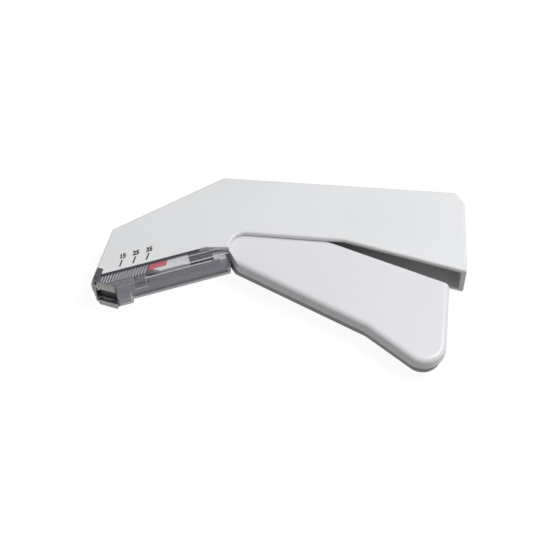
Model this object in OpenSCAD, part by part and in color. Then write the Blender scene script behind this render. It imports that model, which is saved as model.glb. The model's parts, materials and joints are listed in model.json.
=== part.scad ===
// Skin stapler lying on its side, in millimetres.
// X runs from the nose to the heel of the grip, Y up the grip and Z across the housing's width.
// The origin is on the trigger pivot's axis, at the face that the stapler lies on.

/* [Housing] */
// Room from the ends of the staples' crowns to the housing's side faces
side_room = 5.5; // [5.3:0.05:6]
// Thickness of the moulded walls
wall = 2.2; // [1.8:0.1:2.4]
// Radius along the outer edges of the shells
edge_r = 1.2; // [0.8:0.1:1.5]
// Distance of the nose's top corner ahead of the pivot
nose_reach = 45.6; // [45:0.1:47]
// Height of the nose's top corner above the pivot
nose_rise = 1.7; // [1:0.1:2.5]
// Distance of the elbow behind the pivot
elbow_x = 3.3; // [0:0.5:8]
// Height of the elbow above the pivot
elbow_y = 29; // [27:0.5:32]
// Distance of the grip's top rear corner behind the pivot
back_x = 103.8; // [101:0.2:106]
// Height of the grip's top rear corner above the pivot
back_y = 21.3; // [19:0.5:24]
// Length of the cut corner along the grip
cut_x = 3.6; // [2:0.2:5]
// Height of the cut corner
cut_y = 5.2; // [3:0.2:7]
// Distance of the heel behind the pivot
heel_x = 106.4; // [106:0.1:107]
// Depth of the heel below the pivot
heel_y = 18.6; // [17:0.2:20]
// Distance of the bend in the lower rim behind the pivot
knee_x = 54.8; // [50:0.5:60]
// Depth of the bend in the lower rim below the pivot
knee_y = 2.9; // [2:0.1:4]
// Distance of the trigger notch's crown behind the pivot
notch_x = 13.1; // [12.5:0.1:14]
// Radius of the trigger notch
notch_r = 7; // [6.4:0.1:7.2]
// Height of the trigger notch's crown above the pivot
notch_y = 0.8; // [0.6:0.1:1.4]
// Depth of the chin below the pivot
chin_y = 6.5; // [6.4:0.1:7]
// Distance of the chin's front corner ahead of the pivot
chin_x = 4.2; // [2:0.2:6]

/* [Nose] */
// Slope of the staple row, and of the driver away from upright
row_angle = 17; // [15:0.5:19]
// Width of the flat in the middle of the front wall
prow_flat = 4.4; // [3:0.2:6]
// Setback of the front wall's facets at the sides
prow_depth = 1.7; // [1:0.1:2]
// Distance of the staple mouth below the housing's front end
mouth_drop = 1.94; // [1.5:0.02:2.4]
// Thickness of the steel nose plate
nose_t = 1; // [0.8:0.1:1.1]
// Depth of the steel end cap, from its front to its open side
cap_w = 9.8; // [9:0.1:10.4]
// Room beside the staple in its mouth
mouth_side = 1.4; // [1.2:0.1:1.6]

/* [Magazine] */
// Gap between the magazine's rear end and the trigger's front edge
row_gap = 0.4; // [0.3:0.05:0.8]
// Space between the staples' legs and the base plate
leg_space = 1.2; // [1:0.05:1.6]
// Depth of the cover's bottom chamfer
cham_d = 1.1; // [0.8:0.1:1.4]
// Width of the cover's bottom chamfer
cham_z = 3.9; // [3:0.1:4.5]
// Wall of the clear cover
cover_t = 1.1; // [0.9:0.1:1.2]
// Groove between the housing and the cover
groove = 0.5; // [0.4:0.05:0.7]
// Depth of the cover's head below the housing
head_d = 8.4; // [8:0.1:9]
// Length of the cover's head, along the row
head_len = 16.6; // [15:0.2:18]
// Gap between neighbouring staples in the stack
staple_gap = 0.03; // [0.02:0.01:0.05]
// Number of staples in the magazine, the ready one included
staple_count = 35; // [25:1:35]
// Diameter of the staple wire
wire_d = 0.5; // [0.45:0.05:0.55]
// Width of the staple's crown, outside
crown_z = 7; // [6.6:0.1:7.2]
// Length of the staple's legs
leg_len = 4; // [3.6:0.1:4.2]
// Depth of the staples' crowns below the housing
crown_d = 0.6; // [0.5:0.05:0.7]
// Thickness of the rail and base plate
plate_t = 0.5; // [0.4:0.05:0.6]
// Length of the pusher's red indicator
flag_len = 7.6; // [6:0.2:9]
// Thickness of the red indicator
flag_t = 1; // [0.8:0.05:1.1]
// Share of the row behind the staples that the pusher takes, before its spring
pusher_share = 0.6; // [0.55:0.01:0.62]
// Wire of the feed spring
feed_wire = 0.45; // [0.4:0.05:0.5]
// Curls of the feed spring
feed_curls = 10; // [8:1:12]

/* [Driver] */
// Thickness of the driver blade
blade_t = 0.5; // [0.4:0.05:0.5]
// Overhang of the driver blade beyond the ends of the staple's crown
blade_rim = 0.2; // [0.1:0.05:0.4]
// Distance of the drive pin from the front wall
pin_w = 8; // [7.6:0.1:8.4]
// Distance of the drive pin below the nose's top corner
pin_s = 4.8; // [4.6:0.1:5]
// Diameter of the drive pin
drive_d = 2.5; // [2.2:0.1:2.6]
// Clearance of the drive pin in the carriage's slot
slot_play = 0.2; // [0.18:0.01:0.3]

/* [Trigger] */
// Clearance between the trigger and the housing's walls
trig_gap = 0.5; // [0.4:0.05:0.8]
// Radius along the trigger's front edges
trig_r = 2.4; // [1.8:0.1:2.6]
// Wall of the trigger's halves
trig_wall = 1.8; // [1.5:0.1:2]
// Squeeze of the trigger, in degrees
squeeze = 11; // [9:0.5:11]
// Distance of the trigger's rear corner behind the pivot
tail_x = 99; // [97:0.2:99.4]
// Depth of the trigger's rear corner below the pivot
tail_y = 23.2; // [22:0.2:25]
// Slope of the trigger's top edge, in degrees
top_slope = 22.3; // [21:0.1:23]
// Slope of the trigger's finger face, in degrees
face_slope = 28.8; // [27:0.2:30]
// Slope of the trigger's tip beyond the finger face, in degrees
tip_slope = 39.5; // [37:0.5:42]
// Distance of the trigger's front lower corner behind the pivot
lip_x = 10; // [9.8:0.1:10.6]
// Depth of the trigger's front lower corner below the pivot
lip_y = 13.6; // [13:0.1:14.4]
// Distance of the trigger's bend behind the pivot
bend_x = 62.9; // [60:0.5:66]
// Radius of the trigger's tip
tip_r = 9.4; // [8:0.2:11]
// Diameter of the pivot pin
pivot_d = 3; // [2.8:0.1:3.2]
// Running clearance of the pins
run_gap = 0.05; // [0.03:0.01:0.08]
// Outer radius of the trigger's hub
hub_r = 4.2; // [3.9:0.1:4.3]

/* [Hidden] */
$fn = 48;
over = 1;
seat = 0.15;
body_w = crown_z + 2 * side_room;
half_w = body_w / 2;
inner_z = half_w - wall;
arm_t = body_w / 6;
trig_w = body_w - 2 * (wall + trig_gap);

function unit(v) = v / norm(v);
function side(v) = [v.y, -v.x];
function cross2(a, b) = a.x * b.y - a.y * b.x;
function meet(p, u, q, v) = p + u * cross2(q - p, v) / cross2(u, v);
function inset(p, q, r, d) =
  meet(p + d * side(unit(q - p)), q - p, q + d * side(unit(r - q)), r - q);
function ray(a) = [cos(a), sin(a)];
function arc(c, r, a0, a1, n) = [for (i = [0 : n]) c + r * ray(a0 + (a1 - a0) * i / n)];

// The housing's outline
nose_top = [-nose_reach, nose_rise];
elbow = [elbow_x, elbow_y];
back = [back_x, back_y];
cut = [back_x + cut_x, back_y - cut_y];
heel = [heel_x, -heel_y];
knee = [knee_x, -knee_y];
chin_front = [-chin_x, -chin_y];
chin_rear = [notch_x - notch_r, -chin_y];
lip = [lip_x, -lip_y];
hub_space = 1.4;
trig_front = [hub_r + hub_space, notch_y - notch_r];
row_dir = ray(row_angle);
row_down = [sin(row_angle), -cos(row_angle)];
drive_dir = [-sin(row_angle), -cos(row_angle)];
drive_in = [cos(row_angle), -sin(row_angle)];
row_front = meet(nose_top, drive_dir, chin_front, row_dir);
row_front_s = (row_front - nose_top) * drive_dir;
mouth_s = row_front_s + mouth_drop;
mouth_z = crown_z + 2 * mouth_side;
blade_z = crown_z + 2 * blade_rim;
spine = [row_front, nose_top, elbow, back, cut, heel];
notch_arc = arc([notch_x, notch_y - notch_r], notch_r, 90, 180, 12);
outline = concat(spine, [knee], notch_arc, [chin_rear, chin_front]);
front_in = row_front + wall * drive_in;
heel_in = heel + wall * side(unit(heel - cut));
cavity = concat(
  [front_in + wall * drive_dir * 4],
  [for (i = [1 : 4]) inset(spine[i - 1], spine[i], spine[i + 1], wall)],
  [heel_in + 4 * wall * unit(heel - cut)],
  [[heel_x / 2, -2 * heel_y]]
);

// Places in the nose's own axes: w inward from the front wall, s down towards the mouth
function nose_at(w, s) = nose_top + w * drive_in + s * drive_dir;
// Places in the row's own axes: a back along the row, d down below the housing
function row_at(a, d) = row_front + a * row_dir + d * row_down;
module in_nose() {
  translate(nose_top) rotate(-row_angle) children();
}
module in_row() {
  translate(row_front) rotate(row_angle) children();
}
module slab(z0, z1) {
  translate([0, 0, z0]) linear_extrude(z1 - z0) children();
}
module slab_pair(z0, z1) {
  slab(half_w - z1, half_w - z0) children();
  slab(half_w + z0, half_w + z1) children();
}
// A section in depth and width, run along the row
module along_row(a0, a1) {
  in_row() translate([a0, 0, 0]) rotate([90, 0, 90]) linear_extrude(a1 - a0) children();
}
// A section in inward distance and width, run down the nose
module down_nose(s0, s1) {
  in_nose() translate([0, -s0, 0]) rotate([90, 0, 0]) linear_extrude(s1 - s0) children();
}
module box2(p, q) {
  translate(p) square(q - p);
}
// A strip of even thickness along a path
module strip2(path, t) {
  polygon(concat(
    [for (i = [0 : len(path) - 1]) path[i] + t / 2 * strip_out(path, i)],
    [for (i = [len(path) - 1 : -1 : 0]) path[i] - t / 2 * strip_out(path, i)]
  ));
}
function strip_out(path, i) =
  i == 0 ? side(unit(path[1] - path[0])) :
  i == len(path) - 1 ? side(unit(path[i] - path[i - 1])) :
  let (u = side(unit(path[i] - path[i - 1])), v = side(unit(path[i + 1] - path[i])))
  (u + v) / (1 + u * v);

// The staples and what lies in line with them
blade_w0 = wall + seat + nose_t + seat;
staple_w = blade_w0 + blade_t / 2;
row_pitch = (wire_d + staple_gap) / cos(2 * row_angle);
crown_s = let (p = meet(nose_at(staple_w, 0), drive_dir, row_at(0, crown_d), row_dir))
  (p - nose_top) * drive_dir;
stack_len = (staple_count - 1) * row_pitch;
crown_a = (nose_at(staple_w, crown_s) - row_front) * row_dir;
feed_travel = stack_len - row_pitch;
crown_top = crown_d - wire_d / 2;
crown_low = crown_d + wire_d / 2;
leg_low = crown_top + leg_len * cos(2 * row_angle);
rail_d0 = crown_low + seat;
rail_z = crown_z - 2 * wire_d - 2 * seat;
plate_d0 = leg_low + leg_space;
cover_d = plate_d0 + plate_t + seat + cover_t;
row_end = meet(chin_rear - [0, groove], [1, 0], lip, lip - trig_front);
row_len = (row_end - row_front) * row_dir - row_gap;
pusher_a0 = crown_a + stack_len + row_pitch + crown_d * tan(2 * row_angle);
plug_a0 = row_len - cover_t - seat - 2.4 * wall;
pusher_a1 = pusher_a0 + pusher_share * (plug_a0 - pusher_a0);

// Motion of the trigger and the driver
drive_pin_at = nose_at(pin_w, pin_s);
arm_len = norm(drive_pin_at);
arm_dir = unit(drive_pin_at);
arm_start = acos(-arm_dir * drive_in);
drive_stroke = arm_len * (sin(arm_start + squeeze) - sin(arm_start));
pin_drift = arm_len * (cos(arm_start) - cos(arm_start + squeeze));
echo(drive_stroke = drive_stroke, pin_drift = pin_drift, feed_travel = feed_travel,
  ratio = drive_stroke / (squeeze * PI / 180), row_dir = row_dir, drive_dir = drive_dir,
  crown_s = crown_s, pusher_a1 = pusher_a1, plug_a0 = plug_a0, arm_start = arm_start);

// Housing shells
peg_r = 1.2;
peg_wall = 1.2;
boss_r = peg_r + peg_wall;
pivot_r = pivot_d / 2;
pivot_boss_r = pivot_r + wall - 3 * seat;
pivot_boss_h = body_w / 18;
spring_wire = body_w / 30;
post_r = 1.2;
ear_t = body_w / 22.5;
hub_z = [arm_t / 2 + seat, inner_z - pivot_boss_h - 2 * seat];
ear_w = [1.9, 4.6];
ear_h = 5.6;
ear_top = row_front_s - ear_h;
peg_inset = wall + boss_r - peg_wall / 2;
peg_shares = [0.22, 0.56, 0.92];
function under(p, q, share, d) = p + (q - p) * share + d * side(unit(q - p));
pegs = concat(
  [under(nose_top, elbow, 0.62, peg_inset)],
  [for (k = peg_shares) under(elbow, back, k, peg_inset)]
);
rib_shares = [0.1, 0.33, 0.45, 0.67, 0.8];
rib_t = 1.2;
rib_len = 3 * wall;
edge_n = 5;

// Takes the sharp edge off from p to q, with the outline's inside to the right of the way
module round_edge(p, q, top, r, before, after) {
  v = q - p;
  translate([p.x, p.y, top]) rotate(atan2(v.y, v.x)) translate([-before, 0, 0])
    rotate([90, 0, 90]) linear_extrude(norm(v) + before + after) polygon(concat(
      [[over, over], [-r, over]],
      [for (i = [0 : edge_n]) [-r, -r] + r * ray(90 - 90 * i / edge_n)],
      [[over, -r]]
    ));
}
// One half shell with its open side at zero and its outer face at half the width
module half_shell(pegged) {
  difference() {
    union() {
      difference() {
        slab(0, half_w) polygon(outline);
        in_nose() translate([0, over * 3, 0]) rotate([90, 0, 0])
          linear_extrude(row_front_s + 6 * over) polygon([
            [-over, prow_flat / 2], [0, prow_flat / 2], [prow_depth, half_w],
            [prow_depth, half_w + over], [-over, half_w + over]
          ]);
        slab(-over, inner_z) polygon(cavity);
      }
      for (p = pegs) slab(0, inner_z + over / 2) intersection() {
        polygon(outline);
        translate(p) circle(boss_r);
      }
      for (k = rib_shares) {
        p = under(elbow, back, k, wall / 2);
        slab(seat, inner_z + over / 2) translate(p)
          rotate(atan2(back.y - elbow.y, back.x - elbow.x)) translate([-rib_t / 2, -rib_len])
            square([rib_t, rib_len]);
      }
      slab(inner_z - pivot_boss_h, inner_z + over / 2) circle(pivot_boss_r);
      if (!pegged) slab(arm_t / 2 + seat, inner_z + over / 2) translate(post_at) circle(post_r);
      if (pegged) for (p = pegs) slab(-1.5 * peg_r, over) translate(p) circle(peg_r);
    }
    for (i = [1 : 4]) round_edge(spine[i], spine[i + 1], half_w, edge_r, edge_r, edge_r);
    slab(inner_z - over, half_w + over) in_nose()
      box2([ear_w[0], -row_front_s - over], [ear_w[1], -ear_top]);
    slab(-over, inner_z + wall / 2) circle(pivot_r + run_gap);
    if (!pegged) for (p = pegs) slab(-over, 2 * peg_r) translate(p) circle(peg_r + run_gap);
  }
}
module body_shell_upper() {
  color("white") translate([0, 0, half_w]) half_shell(false);
}
module body_shell_lower() {
  color("white") translate([0, 0, half_w]) mirror([0, 0, 1]) half_shell(true);
}
module trigger_pivot_pin() {
  color("silver") slab(wall / 2 + seat, body_w - wall / 2 - seat) circle(pivot_r);
}

// Clear magazine cover
cap_s0 = mouth_s - nose_t;
module cover_profile(depth, t) {
  polygon([
    [over * 3, t], [-(depth - cham_d) + t / 3, t], [-depth + t, cham_z + t / 3],
    [-depth + t, body_w - cham_z - t / 3], [-(depth - cham_d) + t / 3, body_w - t],
    [over * 3, body_w - t]
  ]);
}
module cover_side(t) {
  polygon([
    row_at(row_len - t, -over),
    row_at(row_len - t, cover_d + head_d),
    nose_at(head_w1 + over, cap_s0 - seat - t) + 3 * over * drive_in,
    nose_at(cap_w0, cap_s0 - seat - t),
    nose_at(cap_w0, row_front_s - 3 * over),
    row_at(crown_a, -over)
  ]);
}
module under_housing(gap) {
  polygon([
    row_front - 2 * over * row_dir + gap * row_down, chin_front + gap * row_down,
    chin_rear + [2 * over, -gap], chin_rear + [notch_r * 2, -gap - cover_d * 3],
    row_at(-over * 3, cover_d * 3)
  ]);
}
cap_w0 = wall + seat;
head_w1 = cap_w0 + cap_w;
ledge_d = 0.8;
ledge_a = [12.5, 48];
tongue_z0 = wall + seat;
tongue_t = 0.8;
tongue_h = 1.5;
module magazine_cover() {
  color([0.72, 0.7, 0.82, 0.4]) {
    slab_pair(inner_z + seat, half_w) in_nose() box2(
      [ear_w[0] + seat, -cap_s0 + seat], [ear_w[1] - seat, -ear_top - seat]);
    for (m = [0, 1]) translate([0, 0, half_w]) mirror([0, 0, m]) translate([0, 0, -half_w])
      along_row(ledge_a[0], ledge_a[1]) {
        box2([-groove - ledge_d, cover_t / 2], [-groove, tongue_z0 + tongue_t]);
        box2([-groove - ledge_d, tongue_z0], [tongue_h, tongue_z0 + tongue_t]);
      }
    difference() {
      intersection() {
        union() {
          along_row(crown_a - 2 * over, row_len) cover_profile(cover_d, 0);
          along_row(-over, head_len) cover_profile(head_d, 0);
        }
        slab(-over, body_w + over) cover_side(0);
        slab(-over, body_w + over) under_housing(groove);
      }
      along_row(crown_a - 3 * over, row_len - cover_t) cover_profile(cover_d, cover_t);
      down_nose(row_front_s - 8 * over, mouth_s + over) {
        box2([0, half_w - mouth_z / 2 - seat], [head_w1, half_w + mouth_z / 2 + seat]);
        box2([0, plate_z0 - seat], [cap_w0 + nose_t + seat, body_w - plate_z0 + seat]);
      }
      along_row(-3 * over, head_len + over) translate([-cover_d + cover_t, 0])
        box2([-over, half_w - mouth_z / 2], [over, half_w + mouth_z / 2]);
    }
  }
}

// Steel nose plate
plate_z0 = wall + 2 * seat;
flange_w = 2.8;
flange_s = row_front_s - (cap_w0 + flange_w) * tan(2 * row_angle) - seat;
module nose_plate() {
  color("silver") {
    down_nose(2 * nose_t, cap_s0 + nose_t / 2)
      box2([cap_w0, plate_z0], [cap_w0 + nose_t, body_w - plate_z0]);
    for (z = [plate_z0, body_w - plate_z0 - nose_t]) down_nose(2 * nose_t, flange_s)
      box2([cap_w0, z], [cap_w0 + flange_w, z + nose_t]);
    down_nose(cap_s0, mouth_s) difference() {
      polygon([
        [cap_w0, half_w - prow_flat / 2], [cap_w0, half_w + prow_flat / 2],
        [cap_w0 + prow_depth, body_w - seat], [head_w1, body_w - seat],
        [head_w1, seat], [cap_w0 + prow_depth, seat]
      ]);
      box2([blade_w0 - seat, half_w - mouth_z / 2], [head_w1 + over, half_w + mouth_z / 2]);
    }
  }
}

// Rail, base plate with the anvil tongue, ejector and plug
module staple_rail() {
  color("lightgray") {
    a0 = crown_a + 3 * wire_d;
    along_row(a0, plug_a0 + wall) translate([-rail_d0 - plate_t, half_w - rail_z / 2])
      square([plate_t, rail_z]);
    for (z = [half_w - rail_z / 2, half_w + rail_z / 2 - plate_t])
      along_row(a0 + leg_len / 2, pusher_a1) translate([-leg_low + seat, z])
        square([leg_low - rail_d0 - seat, plate_t]);
  }
}
tongue_z = 3.2;
tongue_s = cap_s0 - 2 * nose_t;
bed_path = [
  nose_at(blade_w0 - seat + blade_t / 2, tongue_s),
  nose_at(head_w1 - 3 * over, tongue_s),
  row_at(head_len * 0.7, plate_d0 + plate_t / 2)
];
module anvil_plate() {
  color("tan") {
    slab(half_w - tongue_z / 2, half_w + tongue_z / 2) strip2(bed_path, plate_t);
    difference() {
      along_row(head_len * 0.7 - plate_t, plug_a0 + wall)
        translate([-plate_d0 - plate_t, half_w - mouth_z / 2]) square([plate_t, mouth_z]);
      along_row(head_len + over, head_len + flag_len)
        translate([-plate_d0 - plate_t - over, half_w - tongue_z])
          square([plate_t + 2 * over, 2 * tongue_z]);
    }
  }
}
module ejector_spring() {
  color("silver") slab(half_w - tongue_z / 4, half_w + tongue_z / 4) strip2([
    nose_at(blade_w0 + blade_t + seat, tongue_s - plate_t * 1.5),
    nose_at(head_w1 - 3 * over, tongue_s - plate_t / 2 - 0.35 * plate_t)
  ], 0.6 * plate_t);
}
module magazine_plug() {
  color("whitesmoke") difference() {
    along_row(plug_a0, row_len - cover_t - seat)
      box2([-plate_d0 + seat, half_w - crown_z / 2], [-crown_d, half_w + crown_z / 2]);
    along_row(plug_a0 - over, plug_a0 + wall + seat)
      box2([-rail_d0 - plate_t - run_gap, half_w - rail_z / 2 - run_gap],
        [-rail_d0 + run_gap, half_w + rail_z / 2 + run_gap]);
  }
}

// Springs: one unbroken tube of six sides, eight rings to a curl; the lead turns upright rings
module tube(points, r, lead) {
  n = len(points);
  function along(i) = unit(points[min(n - 1, i + 1)] - points[max(0, i - 1)]);
  function outward(i, u) = unit(cross(u, abs(u.z) > 0.9 ? lead : [0, 0, 1]));
  ring = [for (i = [0 : n - 1]) let (u = along(i), e = outward(i, u), f = cross(u, e))
    for (k = [0 : 5]) points[i] + r * (cos(60 * k) * e + sin(60 * k) * f)];
  faces = concat(
    [for (i = [0 : n - 2]) for (k = [0 : 5]) let (a = 6 * i + k, b = 6 * i + (k + 1) % 6)
      [a, a + 6, b]],
    [for (i = [0 : n - 2]) for (k = [0 : 5]) let (a = 6 * i + k, b = 6 * i + (k + 1) % 6)
      [b, a + 6, b + 6]],
    [for (k = [1 : 4]) [0, k, k + 1]],
    [for (k = [1 : 4]) let (m = 6 * (n - 1)) [m, m + k + 1, m + k]]
  );
  polyhedron(ring, faces);
}
feed_d = plate_d0 - rail_d0 - plate_t - 2 * seat;
feed_r = (feed_d - feed_wire) / 2;
feed_len = plug_a0 - pusher_a1 - 2 * seat - 2 * feed_wire;
feed_points = concat(
  [[feed_r, 0, -feed_wire]],
  [for (i = [0 : 8 * feed_curls])
    [feed_r * cos(45 * i), feed_r * sin(45 * i), feed_len * i / (8 * feed_curls)]],
  [[feed_r, 0, feed_len + feed_wire]]
);
feed_gap = feed_len / feed_curls - feed_wire;
echo(feed_gap = feed_gap);
feed_d0 = rail_d0 + plate_t + feed_d / 2 + seat;
module feed_spring() {
  color("silver") in_row()
    translate([pusher_a1 + seat + feed_wire, -feed_d0, half_w]) rotate([0, 90, 0])
      tube(feed_points, feed_wire / 2, [0, -1, 0]);
}
spring_r = pivot_r + 1.5 * spring_wire + run_gap + 2 * seat;
spring_z0 = half_w + arm_t / 2 + seat + spring_wire / 2;
spring_curls = 2.25;
spring_pitch = (hub_z[1] - ear_t - arm_t / 2 - 2 * seat - spring_wire) / spring_curls;
spring_start = atan2(arm_dir.y, arm_dir.x) + 90;
spring_end = spring_start + 360 * spring_curls;
spring_leg = 8;
hook_at = spring_r * ray(spring_start) + spring_leg * arm_dir;
spring_points = concat(
  [[hook_at.x, hook_at.y, -arm_t / 2], [hook_at.x, hook_at.y, 0]],
  [for (i = [0 : 8 * spring_curls])
    [spring_r * cos(spring_start + 45 * i), spring_r * sin(spring_start + 45 * i),
      spring_pitch * i / 8]],
  [[spring_r * cos(spring_end), spring_r * sin(spring_end), spring_pitch * spring_curls]
    + spring_leg * [-sin(spring_end), cos(spring_end), 0]]
);
post_at = spring_r * ray(spring_end) + (spring_leg - spring_wire) * ray(spring_end + 90)
  - (spring_wire / 2 + post_r + run_gap) * ray(spring_end);
module trigger_spring() {
  color("silver") translate([0, 0, spring_z0]) tube(spring_points, spring_wire / 2, [arm_dir.x, arm_dir.y, 0]);
}

// Staples
module staple_at(a) {
  shift = [a * row_dir.x, a * row_dir.y, half_w];
  top = nose_at(staple_w, crown_s);
  leg_z = crown_z / 2 - wire_d / 2;
  low = leg_len - wire_d / 2;
  translate(shift) translate(top) rotate(-row_angle) {
    translate([0, 0, -leg_z]) cylinder(d = wire_d, h = 2 * leg_z, $fn = 6);
    for (z = [-leg_z, leg_z]) translate([0, wire_d / 4, z]) rotate([90, 0, 0])
      cylinder(d1 = wire_d, d2 = wire_d, h = low + wire_d / 4, $fn = 6);
  }
}
module ready_staple() {
  color("silver") staple_at(0);
}
module staple_stack() {
  color("silver") for (k = [1 : staple_count - 1]) staple_at(k * row_pitch);
}

// Pusher with its red indicator
saddle_z = half_w - tongue_z0 - tongue_t - seat - flag_t;
flag_w0 = (pusher_a0 - feed_travel) * cos(2 * row_angle);
flag_low = (cap_s0 - 2 * seat - row_front_s + flag_w0 * tan(2 * row_angle)) * cos(2 * row_angle);
module slanted(a0, a1) {
  slab(-over, body_w + over) polygon([
    row_at(a0, 0), row_at(a0, 0) + cover_d / cos(2 * row_angle) * drive_dir,
    row_at(a1, cover_d), row_at(a1, 0)
  ]);
}
module staple_pusher() {
  color("gainsboro") intersection() {
    along_row(pusher_a0 - leg_len, pusher_a1) difference() {
      box2([-plate_d0 + seat, half_w - saddle_z], [-crown_top, half_w + saddle_z]);
      box2([-leg_low, half_w - rail_z / 2 - seat], [-rail_d0 + seat, half_w + rail_z / 2 + seat]);
    }
    slanted(pusher_a0, pusher_a1);
    union() {
      along_row(pusher_a1 - 2 * wall, pusher_a1 + over)
        box2([-cover_d, 0], [over, body_w]);
      for (z = [0, half_w + tongue_z / 2 + seat]) along_row(pusher_a0 - 2 * leg_len, pusher_a1)
        box2([-cover_d, z], [over, z + half_w - tongue_z / 2 - seat]);
      along_row(pusher_a0 - 2 * leg_len, pusher_a1) box2([-rail_d0, 0], [over, body_w]);
    }
  }
  color("gainsboro") along_row(pusher_a1 - wall, pusher_a1)
    box2([-leg_low - seat, half_w - rail_z / 2 + plate_t + seat],
      [-rail_d0 - plate_t - seat, half_w + rail_z / 2 - plate_t - seat]);
}
module pusher_indicator() {
  color("red") intersection() {
    for (z = [half_w - saddle_z - flag_t, half_w + saddle_z])
      along_row(pusher_a0 - leg_len, pusher_a0 + flag_len)
        box2([-flag_low, z], [-crown_top, z + flag_t]);
    slanted(pusher_a0, pusher_a0 + flag_len);
  }
}

// Driver: blade, carriage, rivets and drive pin
blade_s0 = 2.4;
blade_tip = crown_s - wire_d / 2 - 2 * seat;
fork_depth = blade_tip + drive_stroke - tongue_s + plate_t * 2;
carriage_w0 = blade_w0 + blade_t;
carriage_z = body_w - 2 * (wall + 2 * seat + nose_t) - 4 * seat;
carriage_web = 1.2;
carriage_len = 10.4;
cheek_z = [arm_t / 2 + 2 * seat, carriage_z / 2 - seat];
slot_r = drive_d / 2 + slot_play;
slot_wall = 1.1;
cheek_s = [pin_s - slot_r - slot_wall, pin_s + slot_r + slot_wall];
cheek_w1 = pin_w + pin_drift + slot_r + slot_wall;
rivet_step = 4.6;
rivet_at = [[pin_s, 0], [pin_s + rivet_step, 0]];
module driver_blade() {
  color("silver") difference() {
    down_nose(blade_s0, blade_tip)
      box2([blade_w0, half_w - blade_z / 2], [blade_w0 + blade_t, half_w + blade_z / 2]);
    down_nose(blade_tip - fork_depth, blade_tip + over)
      box2([blade_w0 - over, half_w - tongue_z / 2 - seat],
        [blade_w0 + blade_t + over, half_w + tongue_z / 2 + seat]);
    for (r = rivet_at) rivet_hole(r, blade_w0 - over, rivet_r + run_gap);
  }
}
rivet_r = 0.9;
module rivet_hole(at, w0, r) {
  in_nose() translate([w0, -at[0], half_w + at[1]]) rotate([0, 90, 0])
    cylinder(r = r, h = carriage_web + blade_t + 2 * over);
}
module driver_rivets() {
  color("silver") for (r = rivet_at) in_nose()
    translate([blade_w0, -r[0], half_w + r[1]]) rotate([0, 90, 0])
      cylinder(r = rivet_r, h = blade_t + carriage_web);
}
module driver_carriage() {
  color("whitesmoke") difference() {
    union() {
      down_nose(blade_s0, blade_s0 + carriage_len)
        box2([carriage_w0, half_w - carriage_z / 2], [carriage_w0 + carriage_web, half_w + carriage_z / 2]);
      slab_pair(cheek_z[0], cheek_z[1]) in_nose()
        box2([carriage_w0, -cheek_s[1]], [cheek_w1, -cheek_s[0]]);
    }
    slab(-over, body_w + over) in_nose() {
      for (w = [pin_w, pin_w + pin_drift]) translate([w, -pin_s]) circle(slot_r);
      box2([pin_w, -pin_s - slot_r], [pin_w + pin_drift, -pin_s + slot_r]);
    }
    for (r = rivet_at) rivet_hole(r, carriage_w0 - over, rivet_r + run_gap);
  }
}
module drive_pin() {
  color("silver") translate(drive_pin_at)
    slab(half_w - cheek_z[1], half_w + cheek_z[1]) circle(drive_d / 2);
}

// Trigger: two halves, arm and bush
bush_t = 0.8;
arm_rim = 1.2;
arm_end_r = drive_d / 2 + arm_rim;
bush_r = pivot_r + run_gap + bush_t;
module trigger_arm() {
  z = [half_w - arm_t / 2, half_w + arm_t / 2];
  color("gray") difference() {
    union() {
      slab(z[0], z[1]) circle(hub_r);
      slab(z[0], z[1]) translate(drive_pin_at) circle(arm_end_r);
      slab(z[0], z[1]) polygon([
        hub_r * 0.9 * [arm_dir.y, -arm_dir.x], hub_r * 0.9 * [-arm_dir.y, arm_dir.x],
        drive_pin_at + arm_end_r * [-arm_dir.y, arm_dir.x],
        drive_pin_at + arm_end_r * [arm_dir.y, -arm_dir.x]
      ]);
      slab(z[0], z[1]) polygon([
        hub_r * 0.9 * ray(75), hub_r * 0.9 * ray(-70), [notch_x + hub_r, -notch_r / 2],
        [notch_x + 2 * hub_r, hub_r / 2]
      ]);
    }
    slab(z[0] - over, z[1] + over) circle(bush_r);
    slab(z[0] - over, z[1] + over) translate(drive_pin_at) circle(drive_d / 2 + run_gap / 2);
    slab(z[0] - over, z[1] + over) translate(hook_at) circle(spring_wire / 2 + run_gap);
  }
}
module pivot_bush() {
  color("goldenrod") slab(half_w - arm_t / 2, half_w + arm_t / 2) difference() {
    circle(bush_r - run_gap / 2);
    circle(pivot_r + run_gap);
  }
}
tail = [tail_x, -tail_y];
face_dir = ray(-face_slope);
tip_dir = ray(-tip_slope);
top_dir = ray(-top_slope);
bend = lip + face_dir * (bend_x - lip_x) / face_dir.x;
rear_slope = 5.4;
ear_len = 3.4;
mitre = trig_r * tan((tip_slope - face_slope) / 2);
rear_dir = ray(-90 - rear_slope);
tip_centre = meet(
  bend - tip_r * side(tip_dir), tip_dir, tail + tip_r * side(rear_dir), rear_dir);
tip_arc = arc(tip_centre, tip_r, -90 - tip_slope, -rear_slope, 2 * edge_n);
tip_n = len(tip_arc) - 1;
top_front = tail - top_dir * (tail_x - notch_x - notch_r) / top_dir.x;
trig_outline = concat(
  [trig_front, [hub_r + hub_space, hub_r], [notch_x, top_front.y],
    top_front, tail],
  [for (i = [tip_n : -1 : 0]) tip_arc[i]],
  [bend, lip]
);
trig_half = trig_w / 2;
function shrink(pts, d) = [for (i = [0 : len(pts) - 1])
  inset(pts[(i + len(pts) - 1) % len(pts)], pts[i], pts[(i + 1) % len(pts)], d)];
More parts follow.
